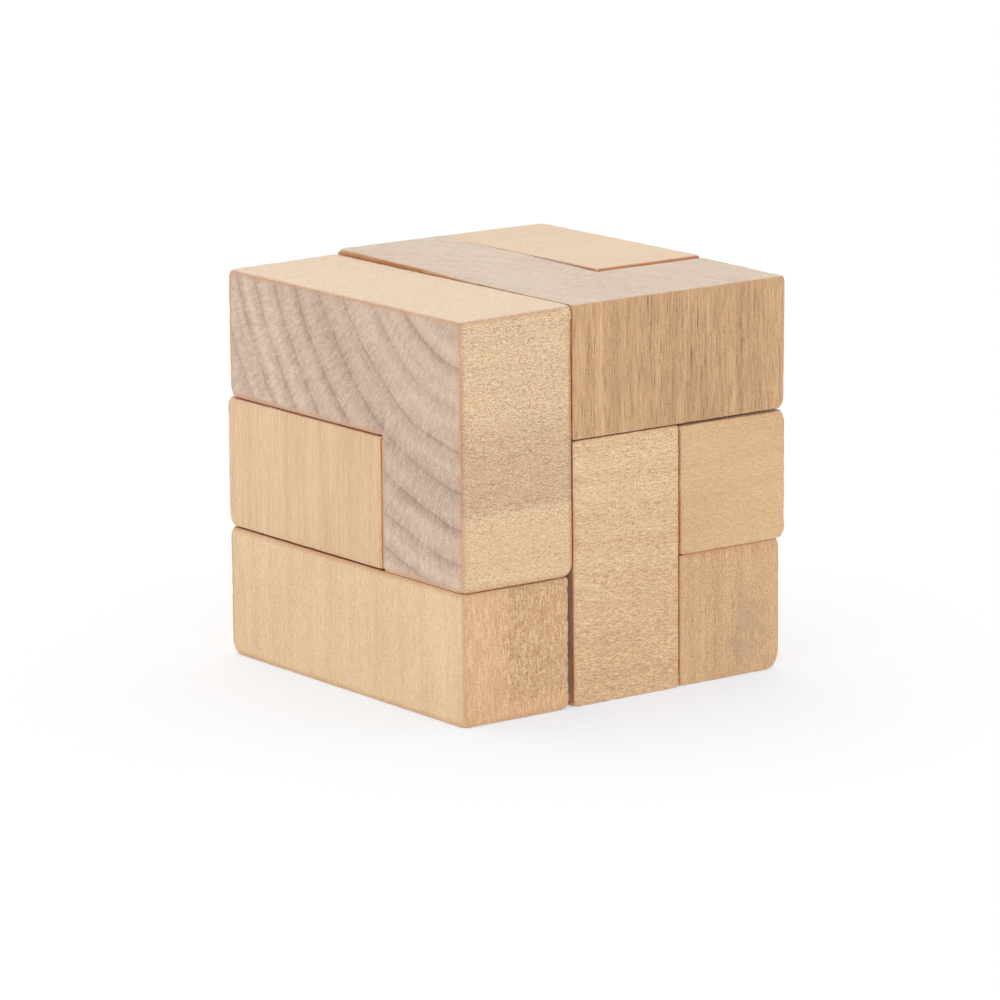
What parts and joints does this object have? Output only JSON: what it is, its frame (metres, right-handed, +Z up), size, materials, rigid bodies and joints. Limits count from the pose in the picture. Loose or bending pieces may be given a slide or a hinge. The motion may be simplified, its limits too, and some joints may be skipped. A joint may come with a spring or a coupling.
{
  "type": "wooden cube packing puzzle",
  "caption": "Small hardwood cube puzzle of loose blocks: flat L, T, V and zigzag pieces with softened edges, each drawing straight out of the closed cube.",
  "frame": {"origin": "middle of the cube's bottom face, on the surface it stands on", "axes": "+X to the right along the front face, +Y to the back, +Z up; the left L lies on the -X face and the top L on the +Z face"},
  "size_m": [0.045, 0.045, 0.0455],
  "materials": {
    "grey_brown_wood": "bare sanded wood, sawn end grain with broad curved rings on the left face",
    "straw_wood": "bare sanded wood, faint grain standing upright",
    "tan_wood": "bare sanded wood, faint upright grain, torn grain on one end",
    "brown_wood": "bare sanded wood with fine dark upright pores, pale sawn end grain on top",
    "honey_wood": "bare sanded wood, short level flecks",
    "yellow_wood": "bare sanded wood, faint level grain",
    "russet_wood": "bare sanded wood with upright streaks and a greyish patch"
  },
  "bodies": {
    "base_t": {"base_t_piece": "tan_wood"},
    "left_l": {"left_l_piece": "grey_brown_wood"},
    "middle_l": {"middle_l_piece": "straw_wood"},
    "top_l": {"top_l_piece": "brown_wood"},
    "corner_v": {"corner_v_piece": "honey_wood"},
    "zigzag": {"zigzag_piece": "yellow_wood"},
    "base_l": {"base_l_piece": "russet_wood"}
  },
  "joints": [
    {"name": "top_l_lift", "type": "slide", "parent": "base_t", "child": "top_l", "axis": [0, 0, 1], "range_m": [0, 0.03]},
    {"name": "left_l_draw", "type": "slide", "parent": "base_t", "child": "left_l", "axis": [-1, 0, 0], "range_m": [0, 0.03]},
    {"name": "zigzag_draw", "type": "slide", "parent": "base_t", "child": "zigzag", "axis": [1, 0, 0], "range_m": [0, 0.03]},
    {"name": "corner_v_draw", "type": "slide", "parent": "base_t", "child": "corner_v", "axis": [0, -1, 0], "range_m": [0, 0.045]},
    {"name": "middle_l_draw", "type": "slide", "parent": "base_t", "child": "middle_l", "axis": [0, 1, 0], "range_m": [0, 0.045]},
    {"name": "base_l_draw", "type": "slide", "parent": "base_t", "child": "base_l", "axis": [1, 0, 0], "range_m": [0, 0.045]}
  ]
}
